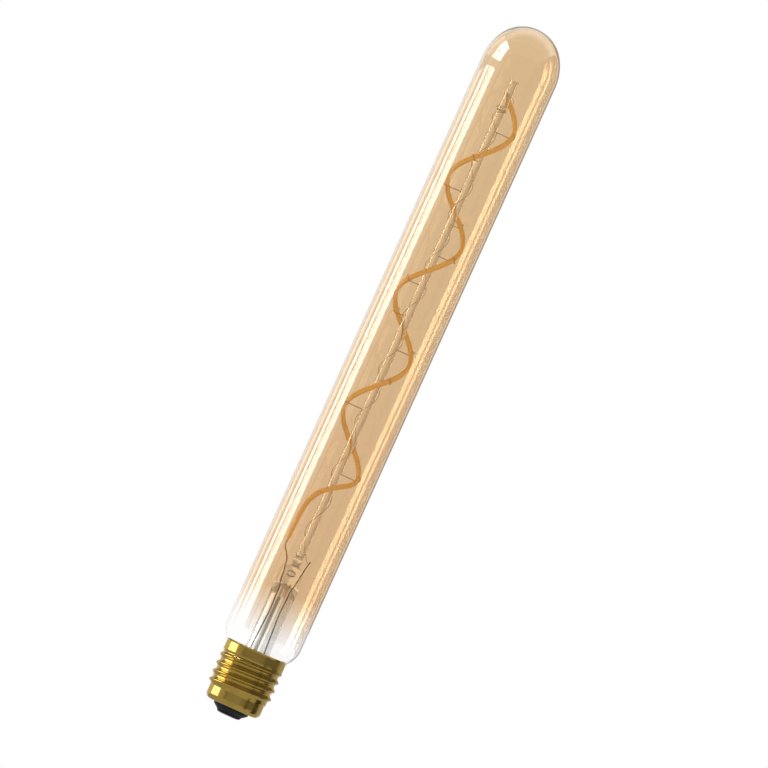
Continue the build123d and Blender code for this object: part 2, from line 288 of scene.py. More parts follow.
def phosphorCoat():
    paint = Paint("phosphorCoat")
    along = paint.attribute("along")
    wave = paint.make("ShaderNodeMath", {"operation": "SINE"}, {0: along * (tau / phosphor["chipPitch"])})
    mottle = paint.noise(phosphor["mottleScale"])
    tone = mottle * phosphor["mottle"] + wave * phosphor["wave"] + phosphor["level"]
    tint = paint.mottle(tone, phosphor["dark"], phosphor["light"])
    grain = paint.bump(mottle + wave * phosphor["waveGrain"], phosphor["grain"], phosphor["grainDepth"])
    # painted glow: a faint light given off by the coat, though the strip is no lamp and is not lit
    glow = paint.blend(tone, (*phosphor["paintedGlowDark"], 1), (*phosphor["paintedGlowLight"], 1))
    return paint.principled(Base_Color=tint, Roughness=phosphor["rough"], Emission_Color=glow,
                            Emission_Strength=phosphor["glow"], Normal=grain)


# Drawn wire: streaks along it, and darker towards the bottom: a near-black brown low down that eases into the
# wire's own tone by just above the pinch
wire = {"stout": ((0.56, 0.4, 0.22), (0.78, 0.58, 0.36), 0.55),
        "fine": ((0.88, 0.74, 0.56), (0.97, 0.86, 0.68), 0.2),
        "brown": (0.05, 0.04, 0.033), "brownLow": 0.034, "brownHigh": 0.072, "waver": 0.004,
        "streakScale": 500.0, "streakStretch": (1, 1, 0.1), "smooth": 0.25, "rough": 0.4}


def drawnWire(name, dark, light, metallic):
    paint = Paint(name)
    streak = paint.noise(wire["streakScale"], wire["streakStretch"])
    level = paint.height() + (streak - 0.5) * wire["waver"]
    share = paint.spread(level, wire["brownLow"], wire["brownHigh"])
    tint = paint.blend(share, (*wire["brown"], 1), paint.mottle(streak, dark, light))
    return paint.principled(Base_Color=tint, Metallic=metallic,
                            Roughness=paint.polish(streak, wire["smooth"], wire["rough"]))


# Plated metal of the strip's ends
tab = {"dark": (0.8, 0.5, 0.2), "light": (0.92, 0.64, 0.3), "cloudScale": 900.0, "metallic": 0.3,
       "smooth": 0.35, "rough": 0.5}


def platedTab():
    paint = Paint("platedTab")
    cloud = paint.noise(tab["cloudScale"])
    tint = paint.mottle(cloud, tab["dark"], tab["light"])
    return paint.principled(Base_Color=tint, Metallic=tab["metallic"],
                            Roughness=paint.polish(cloud, tab["smooth"], tab["rough"]))


# Rolled brass with fine marks of the rolling round the cap, and the pale bond on its inner wall
brass = {"dark": (0.72, 0.49, 0.11), "light": (0.82, 0.56, 0.13), "bondDark": (0.62, 0.6, 0.56),
         "bondLight": (0.74, 0.72, 0.68), "cloudScale": 120.0, "cloudEdge": 0.35, "cloudShare": 0.4,
         "lineScale": 40.0, "lineStretch": (1, 1, 40), "lineDetail": 4.0, "lineLow": 0.4, "lineHigh": 1.0,
         "smooth": 0.13, "rough": 0.22, "bondRough": 0.5, "bump": 0.05, "bumpDepth": 0.0001}


def rolledBrass():
    paint = Paint("rolledBrass")
    lines = paint.noise(brass["lineScale"], brass["lineStretch"], brass["lineDetail"])
    cloud = paint.noise(brass["cloudScale"])
    inside = paint.attribute("inside")
    metal = paint.mottle(cloud, brass["dark"], brass["light"], brass["cloudEdge"])
    bond = paint.mottle(cloud, brass["bondDark"], brass["bondLight"], brass["cloudEdge"])
    rough = paint.spread(lines + cloud * brass["cloudShare"], brass["lineLow"], brass["lineHigh"],
                         brass["smooth"], brass["rough"])
    return paint.principled(Base_Color=paint.blend(inside, metal, bond), Metallic=1 - inside,
                            Roughness=rough + inside * brass["bondRough"],
                            Normal=paint.bump(lines, brass["bump"], brass["bumpDepth"]))


# Black insulator, clouded and dull
black = {"dark": (0.006, 0.006, 0.007), "light": (0.014, 0.013, 0.014), "cloudScale": 300.0, "smooth": 0.35,
         "rough": 0.5, "specular": 0.25, "bump": 0.1, "bumpDepth": 0.0003}


def blackInsulator():
    paint = Paint("blackInsulator")
    cloud = paint.noise(black["cloudScale"])
    return paint.principled(Base_Color=paint.mottle(cloud, black["dark"], black["light"]),
                            Roughness=paint.polish(cloud, black["smooth"], black["rough"]),
                            Specular_IOR_Level=black["specular"],
                            Normal=paint.bump(cloud, black["bump"], black["bumpDepth"]))


# Tinned contact, clouded by its dipping
tin = {"dark": (0.52, 0.5, 0.47), "light": (0.72, 0.7, 0.67), "cloudScale": 700.0, "smooth": 0.25,
       "rough": 0.5, "bump": 0.15, "bumpDepth": 0.0003}


def tinnedContact():
    paint = Paint("tinnedContact")
    cloud = paint.noise(tin["cloudScale"])
    return paint.principled(Base_Color=paint.mottle(cloud, tin["dark"], tin["light"]), Metallic=1.0,
                            Roughness=paint.polish(cloud, tin["smooth"], tin["rough"]),
                            Normal=paint.bump(cloud, tin["bump"], tin["bumpDepth"]))


# The driver's pieces: mottled body with a fine skin
driver = {"cloudEdge": 0.35, "bump": 0.1, "bumpDepth": 0.0002,
          "boardDark": (0.03, 0.14, 0.06), "boardLight": (0.05, 0.2, 0.09),
          "caseDark": (0.012, 0.012, 0.013), "caseLight": (0.03, 0.03, 0.031),
          "sleeveDark": (0.02, 0.022, 0.04), "sleeveLight": (0.035, 0.038, 0.06),
          "coatDark": (0.3, 0.19, 0.11), "coatLight": (0.42, 0.28, 0.17)}


def moulded(name, colour, scale, rough):
    paint = Paint(name)
    cloud = paint.noise(scale)
    tint = paint.mottle(cloud, driver[colour + "Dark"], driver[colour + "Light"], driver["cloudEdge"])
    return paint.principled(Base_Color=tint, Roughness=rough,
                            Normal=paint.bump(cloud, driver["bump"], driver["bumpDepth"]))


amberGlassPaint, clearGlassPaint, phosphorPaint = amberGlass(), clearGlass(), phosphorCoat()
wirePaint, finePaint = drawnWire("drawnWire", *wire["stout"]), drawnWire("fineWire", *wire["fine"])
tabPaint, brassPaint, blackPaint, contactPaint = platedTab(), rolledBrass(), blackInsulator(), tinnedContact()
print("materials made")

# Glass tube: a tip arc and a wider side arc make the dome, then tube, shoulder, cone and neck, out and back
tube = {"wall": 1.0, "tipRadius": 15.0, "domeRadius": 22.0, "shoulderRadius": 11.0, "seatRadius": 13.2,
        "neckRadius": 10.9, "pole": 89.4, "tipSteps": 30, "curveSteps": 16, "straightSteps": 10,
        "closeRows": (0.2, 0.6, 1.5, 4.0), "openRow": 15, "around": 224, "sharp": 40}


def tubeSide(inset):  # (radius, height) from the tip down to the neck, moved inward by the inset
    radius = lamp["tubeRadius"]
    reach = tube["domeRadius"] - radius
    rise = np.sqrt((tube["domeRadius"] - tube["tipRadius"]) ** 2 - reach ** 2)
    tipLevel = lamp["length"] - tube["tipRadius"]
    domeLevel = tipLevel - rise
    meet = np.degrees(np.arctan2(rise, reach))
    seat = np.degrees(np.arccos(1 - (radius - tube["seatRadius"]) / tube["shoulderRadius"]))
    shoulderLevel = lamp["rimLevel"] + tube["shoulderRadius"] * np.sin(np.radians(seat))
    tip = arc((0, tipLevel), tube["tipRadius"] - inset, tube["pole"], meet, tube["tipSteps"])
    side = arc((-reach, domeLevel), tube["domeRadius"] - inset, meet, 0, tube["curveSteps"])[1:]
    # the shoulder's inner face is its outer one moved inward, so it doesn't bend the view into the cap
    shoulder = arc((radius - inset - tube["shoulderRadius"], shoulderLevel), tube["shoulderRadius"], 0, -seat,
                   tube["curveSteps"])
    close = np.array(tube["closeRows"])  # rows close to the curves keep the straight glass shaded straight
    middle = np.linspace(domeLevel - tube["openRow"], shoulderLevel + tube["openRow"], tube["straightSteps"])
    levels = np.concatenate([domeLevel - close, middle, shoulderLevel + close[::-1]])
    straight = np.stack([radius - inset + 0 * levels, levels], -1)
    neck = tube["neckRadius"] - inset
    coneLow = shoulder[-1, 1] - (shoulder[-1, 0] - neck) / np.tan(np.radians(seat))
    low = np.array([[neck, coneLow], [neck, (coneLow + lamp["neckLevel"]) / 2], [neck, lamp["neckLevel"]]])
    return np.vstack([tip, side, straight, shoulder, low])


profile = np.vstack([tubeSide(0), tubeSide(tube["wall"])[::-1]])
makePiece("glassTube", [skin(lathe(profile, tube["around"]))], amberGlassPaint,
          ["glass_envelope"], tube["sharp"])

# Glass stem: flare, tube, flattened press, pinch and rod in one skin, with the hollow under the arch
stem = {"radius": 5.15, "wall": 0.9, "flareRadius": 9.87, "flareHeight": 13.0, "flarePower": 1.6,
        "pressHeight": 6.0, "archDepth": 1.3, "archPower": 0.8, "pinchWidth": 5.3, "pinchDepth": 2.1,
        "pinchSquare": 6, "pinchRound": 1.4, "pinchDraw": 0.3, "topSquare": 4, "rootRadius": 2.2,
        "rootRise": 0.35, "rootEase": 1.8, "rodRadius": 1.7, "rodBore": 1.2, "rodEdge": 0.2, "boreLow": 69.4,
        "beads": (70.6, 265.3), "beadRise": 0.35, "beadSpan": 0.55, "knobLevel": 67.6, "knobRise": 0.3,
        "knobSpan": 0.9, "waists": (66.1, 69.2), "waistDepth": 0.35, "waistSpan": 0.5, "lip": 0.16,
        "lipDrop": 0.3, "lipSpan": 0.35, "around": 120, "sharp": 50}
# what the jaws leave on the pinch: ridges over the leads and the middle, and a melted rim round the oval vent
jaws = {"low": 56.5, "lowEase": 2.0, "topEase": 1.2, "ridge": 4.9, "ridgeSpan": 0.6, "middleSpan": 2.2,
        "valley": 0.15, "ventSpot": (-0.3, 62.1), "ventSize": (1.45, 1.0), "rimPlace": 1.15, "rimSpan": 0.25,
        "rimRise": 0.2, "rimReach": 3.0, "frontDepth": 0.8, "blister": (1.75, 0.5, 1.2), "blisterDepth": 1.0}
exhaust = {"radius": 1.7, "bore": 1.0, "tip": 14.623, "top": 57.9, "boreTop": 57.6, "steps": 14,
           "boreSteps": 10, "around": 48}


def ovalRows(rows):  # each row of (height, half width, half depth, squareness) as a superellipse round Z
    turn = np.linspace(0, tau, stem["around"], endpoint=False)
    z, wide, deep, power = (rows[:, n:n + 1] for n in range(4))
    radius = squaredRadius(turn, wide, deep, power)
    return np.stack([radius * np.cos(turn), radius * np.sin(turn), z + 0 * turn], -1)


def roundRows(z, radius):  # the same rows for a round stretch, whose squareness is 2
    return np.stack([z, radius, radius, 2 + 0 * z], -1)


def flareRows(radius):  # radius + spread * (1 - share of the height)^power
    share = np.linspace(0, 1, 24)
    spread = (stem["flareRadius"] - stem["radius"]) * (1 - share) ** stem["flarePower"]
    return roundRows(lamp["neckLevel"] + stem["flareHeight"] * share, radius + spread)


def stemOutside():
    # rows from the flare to the rod's tip: the tube is eased flat, rounded off above and eased into the rod
    radius, cavity, pinch = stem["radius"], lamp["cavityLevel"], lamp["pinchLevel"]
    wide, deep, square = stem["pinchWidth"], stem["pinchDepth"], stem["pinchSquare"]
    z = np.linspace(cavity - stem["pressHeight"], cavity, 30)
    share = ease(np.linspace(0, 1, 30))
    flat = np.stack([z, radius + (wide - radius) * share, radius + (deep - radius) * share,
                     2 + (square - 2) * share ** 2], -1)
    z = np.linspace(cavity, pinch - stem["pinchRound"], 60)[1:]
    sides = np.stack([z, wide + 0 * z, deep + 0 * z, square + 0 * z], -1)
    turn = np.radians(np.linspace(0, 90, 12)[1:])
    rise, draw = np.sin(turn), 1 - np.cos(turn)
    corner = np.stack([z[-1] + stem["pinchRound"] * rise, wide - stem["pinchRound"] * draw,
                       deep - stem["pinchDraw"] * draw, square + (stem["topSquare"] - square) * rise], -1)
    share = ease(np.linspace(0, 1, 14))[1:]
    across, depth = (corner[-1, n] + (stem["rootRadius"] - corner[-1, n]) * share for n in (1, 2))
    top = np.stack([pinch + stem["rootRise"] * share ** 2, across, depth,
                    stem["topSquare"] + (2 - stem["topSquare"]) * share], -1)
    return np.vstack([flareRows(radius), flat, sides, corner, top, rodRows()])


def rodRows():
    # rows that lie closer over beads and tip: radius = rod + root + bells of beads, knob and lip - waists
    pinch, radius = lamp["pinchLevel"], stem["rodRadius"]
    z = np.concatenate([np.linspace(pinch + 0.4, 76, 60), np.linspace(77, 258, 24), np.linspace(259, 272, 40),
                        np.linspace(273, lamp["rodLevel"] - stem["rodEdge"], 24)])
    rod = radius + (stem["rootRadius"] - radius) * (1 - ease((z - pinch) / stem["rootEase"]))
    for level in stem["beads"]:
        rod = rod + stem["beadRise"] * swell(z, level, stem["beadSpan"])
    rod = rod + stem["knobRise"] * swell(z, stem["knobLevel"], stem["knobSpan"])  # where rod and pinch melted
    for level in stem["waists"]:
        rod = rod - stem["waistDepth"] * swell(z, level, stem["waistSpan"])
    rod = rod + stem["lip"] * swell(z, lamp["rodLevel"] - stem["lipDrop"], stem["lipSpan"])  # fire-cut tip
    turn = np.radians(np.linspace(0, 90, 8)[1:])
    tip = roundRows(z[-1] + stem["rodEdge"] * np.sin(turn), radius - stem["rodEdge"] * (1 - np.cos(turn)))
    return np.vstack([roundRows(z, rod), tip])


def rodBore():
    # rows of the rod's bore, from its round bottom to the open tip with its melted edge
    bore, edge = stem["rodBore"], stem["rodEdge"]
    bottom = arc((0, stem["boreLow"] + bore), bore, -84, 0, 12)
    z = np.linspace(bottom[-1, 1], lamp["rodLevel"] - edge, 40)[1:]
    lip = arc((bore + edge, z[-1]), edge, 180, 100, 6)[1:]
    rows = np.vstack([bottom, np.stack([bore + 0 * z, z], -1), lip])
    return roundRows(rows[:, 1], rows[:, 0])


def stemInside():
    # rows of the hollow, from the flare's mouth to the top of its arch: half width = radius * cos^power
    radius = stem["radius"] - stem["wall"]
    turn = np.radians(np.linspace(0, 88, 30))
    share, close = np.sin(turn), np.cos(turn) ** stem["archPower"]
    deep = radius + (stem["archDepth"] - radius) * ease(share)
    z = lamp["cavityLevel"] - stem["pressHeight"] + stem["pressHeight"] * share
    return np.vstack([flareRows(radius), np.stack([z, radius * close, deep * close, 2 + 0 * turn], -1)])


def pressedStem():
    # depth is lessened where no bell of a ridge stands, and raised by a bell round the vent's oval
    outside = ovalRows(stemOutside())
    x, z = outside[..., 0], outside[..., 2]
    pressed = ease((z - jaws["low"]) / jaws["lowEase"]) * ease((lamp["pinchLevel"] - z) / jaws["topEase"])
    bulge = swell(np.abs(x), jaws["ridge"], jaws["ridgeSpan"]) + swell(x, 0, jaws["middleSpan"])
    outside[..., 1] *= 1 - jaws["valley"] * pressed * np.clip(1 - bulge, 0, 1)
    across, rise = x - jaws["ventSpot"][0], z - jaws["ventSpot"][1]
    away = np.hypot(across / jaws["ventSize"][0], rise / jaws["ventSize"][1])
    front = (outside[..., 1] < -jaws["frontDepth"]) & (np.abs(rise) < jaws["rimReach"])
    rim = jaws["rimRise"] * swell(away, jaws["rimPlace"], jaws["rimSpan"])
    outside[..., 1] -= np.where(front, rim, 0)
    return outside


def exhaustRows(radius, low, top, steps):  # a round end below and a straight tube above it
    profile = np.vstack([arc((0, low + radius), radius, -89, 0, steps), [[radius, top]]])
    return lathe(profile, exhaust["around"])


stemSkin = skin(np.vstack([ovalRows(rodBore()), pressedStem()[::-1], ovalRows(stemInside())]))
blister = lathe(arc((0, 0), 1, -88, 88, 24), 48) * jaws["blister"]  # the hollow behind the vent
blister = blister + np.array([jaws["ventSpot"][0], -jaws["blisterDepth"], jaws["ventSpot"][1]])
exhaustTube = exhaustRows(exhaust["radius"], exhaust["tip"], exhaust["top"], exhaust["steps"])
boreTip = exhaust["tip"] + exhaust["radius"]
exhaustBore = exhaustRows(exhaust["bore"], boreTip, exhaust["boreTop"], exhaust["boreSteps"])
shells = [stemSkin, skin(blister, hollow=True), skin(exhaustTube), skin(exhaustBore, hollow=True)]
makePiece("glassStem", shells, clearGlassPaint, ["glass_stem"], stem["sharp"])

# LED strip: an even right-handed helix, then a tail that swings over and hangs straight
strip = {"radius": 8.4, "turns": 3.25, "width": 2.0, "thickness": 1.5, "square": 3.2, "sides": 28,
         "top": 270.3, "topAngle": 90.0, "end": 74.523, "tail": 106.523, "sweep": 150.0, "ease": 10.4,
         "endRound": 0.5, "endLeast": 0.1, "steps": 900}
flatWay = np.array([1, 1, 0])  # keeps the part of a vector that is square to the axis


def stripAngle(z):  # turns evenly with z along the helix, and by a hyperbolic tangent along the tail
    pitch = (strip["top"] - strip["tail"]) / strip["turns"]
    helix = strip["topAngle"] - 360 * (strip["top"] - np.maximum(z, strip["tail"])) / pitch
    return helix - strip["sweep"] * np.tanh(np.maximum(strip["tail"] - z, 0) / strip["ease"])


def stripPath(z):  # the strip's middle line, at one radius and the strip's angle
    return polar(strip["radius"] + 0 * z, stripAngle(z), z)


def stripFrame(z, step=0.01):  # tangent, side and outward directions of the strip at some levels
    tangent = unit(stripPath(z + step) - stripPath(z - step))
    side = unit(np.cross(tangent, stripPath(z) * flatWay))
    return tangent, side, np.cross(side, tangent)


def ledStrip():
    # a squared section swept along the path, narrowed at both ends by a quarter circle
    z = np.linspace(strip["end"], strip["top"], strip["steps"])
    path = stripPath(z)
    length = np.concatenate([[0], np.cumsum(np.linalg.norm(np.diff(path, axis=0), axis=1))])
    section = squaredSection(strip["thickness"] / 2, strip["width"] / 2, strip["square"], strip["sides"])
    near = np.clip(np.minimum(length, length[-1] - length) / strip["endRound"], 0, 1)
    grow = np.sqrt(np.clip(1 - (1 - near) ** 2, strip["endLeast"], 1))
    grid = sweep(path, section, path * flatWay)
    grid = path[:, None] + (grid - path[:, None]) * grow[:, None, None]
    piece = makePiece("ledStrip", [skin(grid)], phosphorPaint, ["led_filament"])
    along = np.concatenate([np.repeat(length, len(section)), length[[0, -1]]])
    piece.data.attributes.new("along", "FLOAT", "POINT").data.foreach_set("value", along)


ledStrip()

# Metal ends of the strip: short squared bars a little thinner than it, tapered towards both ends
terminal = {"length": 2.2, "width": 0.6, "thickness": 0.25, "square": 5, "sides": 24, "gap": 0.1,
            "places": (0.0, 0.08, 0.2, 0.8, 0.92, 1.0), "taper": (0.6, 0.92, 1, 1, 0.92, 0.6)}


def terminalEnd(level, way, reach):  # a point straight on from the strip's end
    tangent = stripFrame(np.array([level]))[0][0]
    return stripPath(np.array([level]))[0] + way * tangent * reach


def stripTerminal(name, level, way, node):
    tangent, side, out = (v[0] for v in stripFrame(np.array([level])))
    places = np.array(terminal["places"]) * terminal["length"] + terminal["gap"]
    taper = np.array(terminal["taper"])[:, None, None]
    path = stripPath(np.array([level])) + way * places[:, None] * tangent
    flat = squaredSection(terminal["thickness"], terminal["width"], terminal["square"], terminal["sides"])
    grid = path[:, None] + taper * (flat[None, :, :1] * out + flat[None, :, 1:] * side)
    makePiece(name, [skin(grid)], tabPaint, [node])


stripTerminal("upperTerminal", strip["top"], 1, "filament_upper_terminal")
stripTerminal("lowerTerminal", strip["end"], -1, "filament_lower_terminal")

# Lead wires, from the driver up through the pinch
lead = {"dia": 0.5, "sides": 16, "bend": 3.0, "bendSteps": 14, "low": 9.88, "boardX": 3.4, "boardRise": 4.5,
        "middleX": 2.02, "middleDrop": 12, "archDrop": 3, "pinchX": 3.9, "lean": 0.9, "top": 4.7}


def leadWire(name, side, node):  # a round section along straight runs with eased corners
    pinch, cavity = lamp["pinchLevel"], lamp["cavityLevel"]
    route = [(lead["boardX"], lead["low"]), (lead["boardX"], lamp["neckLevel"] + lead["boardRise"]),
             (lead["middleX"], cavity - lead["middleDrop"]),
             (lead["middleX"] + lead["lean"] / 2, cavity - lead["archDrop"]), (lead["pinchX"], pinch)]
    share = 1 if side > 0 else 0.5  # the left one turns off half way, to the strip's lower end
    route.append((lead["pinchX"] + lead["lean"] * share, pinch + lead["top"] * share))
    route = [(side * x, 0, z) for x, z in route]
    if side < 0:
        route.append(terminalEnd(strip["end"], -1, terminal["gap"] + terminal["length"] + lead["dia"]))
    path = roundedRoute(route, lead["bend"], lead["bendSteps"])
    grid = sweep(path, roundSection(lead["dia"] / 2, lead["sides"]), np.array([0.0, 1.0, 0.0]))
    makePiece(name, [skin(grid)], wirePaint, [node])


leadWire("leftLead", -1, "left_lead_wire")
leadWire("rightLead", 1, "right_lead_wire")

# Support wires: out of the rod beside the strip, over its outer face and back on the other side
support = {"dia": 0.3, "sides": 10, "count": 12, "topDrop": 13.6, "endRise": 0.6, "depth": 0.35, "gap": 0.15,
           "bend": 0.35, "bendSteps": 7}
firstSupport, lastSupport = strip["top"] - support["topDrop"], strip["tail"] + support["endRise"]
supportSpacing = (firstSupport - lastSupport) / (support["count"] - 1)


def supportWire(i):  # a round section along root, two corners outside the strip and tip
    level = np.array([firstSupport - i * supportSpacing])
    side, out = (v[0] for v in stripFrame(level)[1:])
    beside = strip["width"] / 2 + support["gap"] + support["dia"] / 2
    outer = strip["thickness"] / 2 + support["gap"] + support["dia"] / 2
    middle = stripPath(level)[0]
    near, far = middle + outer * out + beside * side, middle + outer * out - beside * side
    tip = middle - strip["thickness"] / 4 * out - beside * side
    root = near * flatWay * (stem["rodRadius"] - support["depth"]) / np.hypot(near[0], near[1])
    root[2] = near[2]
    path = roundedRoute([root, near, far, tip], support["bend"], support["bendSteps"])
    grid = sweep(path, roundSection(support["dia"] / 2, support["sides"]), np.array([0.0, 0.0, 1.0]))
    makePiece(f"supportWire{i + 1:02d}", [skin(grid)], wirePaint, [f"support_wire_{i + 1:02d}"])


for i in range(support["count"]):
    supportWire(i)

# Return wire: a loose winding down the rod that keeps clear of the supports
returning = {"dia": 0.25, "sides": 8, "gap": 0.5, "ease": 1.8, "angle": 60, "anglePerSupport": 120,
             "pitch": 22.0, "tieLow": 263.2, "tieHigh": 266.8, "join": 0.75, "joinGap": 0.1, "steps": 700}


def returnWire():
    # the angle gains a third of a turn per support on the strip's, and beyond them runs evenly to the ends
    top = terminalEnd(strip["top"], 1, terminal["gap"] + terminal["length"] + 2 * returning["dia"])
    lowX = lead["pinchX"] + lead["lean"] * returning["join"]
    low = np.array([lowX - lead["dia"] / 2 - returning["dia"] / 2 - returning["joinGap"], 0,
                    lamp["pinchLevel"] + lead["top"] * returning["join"]])
    z = np.linspace(low[2], top[2], returning["steps"])
    level = np.clip(z, lastSupport, firstSupport)
    angle = (stripAngle(level) + returning["angle"]
             + returning["anglePerSupport"] * (level - firstSupport) / supportSpacing)
    for end, beyond in ((top, z > firstSupport), (low, z < lastSupport)):
        span = end[2] - level
        endAngle = np.degrees(np.arctan2(end[1], end[0]))
        endAngle = endAngle + 360 * np.round((angle - endAngle) / 360 + span / returning["pitch"])
        angle = np.where(beyond, angle + (endAngle - angle) * (z - level) / np.where(beyond, span, 1), angle)
    tied = ease((z - returning["tieLow"]) / (returning["tieHigh"] - returning["tieLow"]))  # once round
    coil = stem["rodRadius"] + returning["gap"] + returning["dia"] / 2
    radius = (coil + (np.hypot(top[0], top[1]) - coil) * np.exp((z - top[2]) / returning["ease"])
              + (low[0] - coil) * np.exp((low[2] - z) / returning["ease"]))
    path = polar(radius, angle + 360 * tied, z)
    grid = sweep(path, roundSection(returning["dia"] / 2, returning["sides"]), path * flatWay)
    makePiece("returnWire", [skin(grid)], finePaint, ["return_wire"])


returnWire()

# Screw shell: one rolled sheet, radius = mean + depth/2 * wave(turns - angle), run out at both ends
screw = {"crest": 13.2, "depth": 1.1, "pitch": 3.629, "turns": 4.25, "runOut": 0.5, "point": 1.5,
         "collar": 12.8, "band": 11.7, "corner": 2.3, "wall": 0.35, "mouth": 7.5, "mouthRound": (0.15, 0.1),
         "lipHeight": 0.8, "lipFlare": 0.3, "lipEdge": 0.12, "rows": 236, "innerRows": 80, "around": 176,
         "sharp": 60}


def shellRadius(z, angle):
    turn = (z - lamp["threadLevel"]) / screw["pitch"]
    start, finish = ease(turn / screw["runOut"]), ease((screw["turns"] - turn) / screw["runOut"])
    mean = screw["crest"] - screw["depth"] / 2
    wave = 2 * (0.5 + 0.5 * np.cos(tau * turn - angle)) ** screw["point"] - 1  # narrow crests, wide roots
    body = screw["band"] + (mean - screw["band"]) * start + (screw["collar"] - mean) * (1 - finish)
    lip = screw["lipFlare"] * ease((z - lamp["rimLevel"] + screw["lipHeight"]) / screw["lipHeight"])
    return body + screw["depth"] / 2 * start * finish * wave + lip


def shellRows(levels, inset):  # the radius at every level and angle, moved inward
    turn = np.linspace(0, tau, screw["around"], endpoint=False)
    radius = shellRadius(levels[:, None], turn) - inset
    return np.stack([radius * np.cos(turn), radius * np.sin(turn), levels[:, None] + 0 * turn], -1)


def screwShell():
    # down the outer wall, round the corner to the mouth and back up the inner wall to the lip's rounded edge
    low, mouth, wall = lamp["shellLevel"], screw["mouth"], screw["wall"]
    bandLow, rim = low + screw["corner"], lamp["rimLevel"] - screw["lipEdge"]
    centre = (screw["band"] - screw["corner"], bandLow)
    corner = arc(centre, screw["corner"], 0, -90, 12)[1:]
    outRound, upRound = screw["mouthRound"]
    base = np.array([[mouth + outRound, low], [mouth, low + upRound], [mouth, low + wall]])
    inner = arc(centre, screw["corner"] - wall, -90, 0, 8)[:-1]
    rolled = np.vstack([shellRows(np.linspace(rim, bandLow, screw["rows"]), 0),
                        lathe(np.vstack([corner, base, inner]), screw["around"]),
                        shellRows(np.linspace(bandLow, rim, screw["innerRows"]), wall),
                        shellRows(np.array([rim]), wall / 2) + np.array([0, 0, screw["lipEdge"]])])
    piece = makePiece("screwShell", [skin(rolled, loop=True)], brassPaint, ["screw_shell"],
                      screw["sharp"])
    inside = np.zeros(len(rolled))
    inside[-screw["innerRows"] - 1:-1] = 1  # only the rows of the inner wall
    inside = np.repeat(inside, screw["around"])
    piece.data.attributes.new("inside", "FLOAT", "POINT").data.foreach_set("value", inside)


screwShell()

# Insulator: a nose that eases out to the neck, and the flange behind the shell's mouth
insulator = {"pole": 0.3, "seat": 4.23, "seatTop": 1.13, "seatRound": 0.12, "low": 0.3, "nose": 4.95,
             "noseRound": 0.35, "coneLow": 0.75, "coneHigh": 3.45, "easeLow": 0.55, "easeHigh": 3.3,
             "neck": 7.47, "flange": 9.27, "flangeLow": 3.88, "flangeTop": 5.38, "around": 128, "sharp": 40}


def insulatorProfile():
    low, nose, neck, flange = (insulator[key] for key in ("low", "nose", "neck", "flange"))
    seatRound, noseRound = insulator["seatRound"], insulator["noseRound"]
    z = np.linspace(insulator["coneLow"], insulator["coneHigh"], 24)
    share = ease((z - insulator["easeLow"]) / (insulator["easeHigh"] - insulator["easeLow"]))
    seat = [[insulator["pole"], insulator["seatTop"]], [insulator["seat"], insulator["seatTop"]]]
    top = [[neck, insulator["flangeLow"]], [flange, insulator["flangeLow"]], [flange, insulator["flangeTop"]],
           [insulator["pole"], insulator["flangeTop"]]]
    return np.vstack([seat, arc((insulator["seat"] + seatRound, low + seatRound), seatRound, 180, 270, 5),
                      arc((nose - noseRound, low + noseRound), noseRound, -90, 0, 8),
                      np.stack([nose + (neck - nose) * share, z], -1), top])


makePiece("blackInsulator", [skin(lathe(insulatorProfile(), insulator["around"]))], blackPaint,
          ["insulator"], insulator["sharp"])

# Centre contact: flat in the middle, dished by a square law towards its rounded edge
contact = {"pole": 0.2, "land": 1.5, "flat": 2.6, "radius": 4.2, "height": 1.1, "dish": 0.12, "edge": 0.22,
           "around": 96, "sharp": 40}


def contactProfile():
    flat, radius, edge, pole = (contact[key] for key in ("flat", "radius", "edge", "pole"))
    r = np.linspace(flat, radius - edge, 10)
    dished = np.stack([r, contact["dish"] * ((r - flat) / (radius - flat)) ** 2], -1)
    rounded = arc((radius - edge, dished[-1, 1] + edge), edge, -80, 0, 8)
    return np.vstack([[[pole, 0], [contact["land"], 0]], dished, rounded,
                      [[radius, contact["height"]], [pole, contact["height"]]]])


makePiece("centreContact", [skin(lathe(contactProfile(), contact["around"]))], contactPaint,
          ["centre_contact"], contact["sharp"])

# The driver's solids keep their shape inside the cap and get their finishes
finishes = {"driver_board": moulded("boardResist", "board", 400.0, 0.4),
            "bridge_rectifier": moulded("rectifierCase", "case", 900.0, 0.5),
            "driver_chip": moulded("chipCase", "case", 900.0, 0.5),
            "smoothing_capacitor": moulded("capacitorSleeve", "sleeve", 300.0, 0.3),
            "fuse_resistor": moulded("resistorCoat", "coat", 600.0, 0.45),
            "contact_wire": wirePaint, "shell_wire": wirePaint}
for name, finish in finishes.items():
    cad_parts[name].data.materials.clear()
    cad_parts[name].data.materials.append(finish)
print("driver finished")

# Camera: square to the axis from -Y, far off, rolled so that the dome leans to the right
view = {"lens": 1200.0, "sensor": 36.0, "roll": 24.32, "across": 305.9, "target": (2.3, 146.1),
        "farthest": 100}
lean = np.radians(view["roll"])
distance = view["across"] * mm * view["lens"] / view["sensor"]
camera = bpy.data.objects.new("camera", bpy.data.cameras.new("camera"))
camera.data.lens, camera.data.sensor_width = view["lens"], view["sensor"]
camera.data.clip_end = view["farthest"]
right, up = (np.cos(lean), 0, np.sin(lean)), (-np.sin(lean), 0, np.cos(lean))
camera.matrix_world = Matrix(((right[0], up[0], 0, view["target"][0] * mm), (0, 0, -1, -distance),
                              (right[2], up[2], 0, view["target"][1] * mm), (0, 0, 0, 1)))
scene.collection.objects.link(camera)
scene.camera = camera

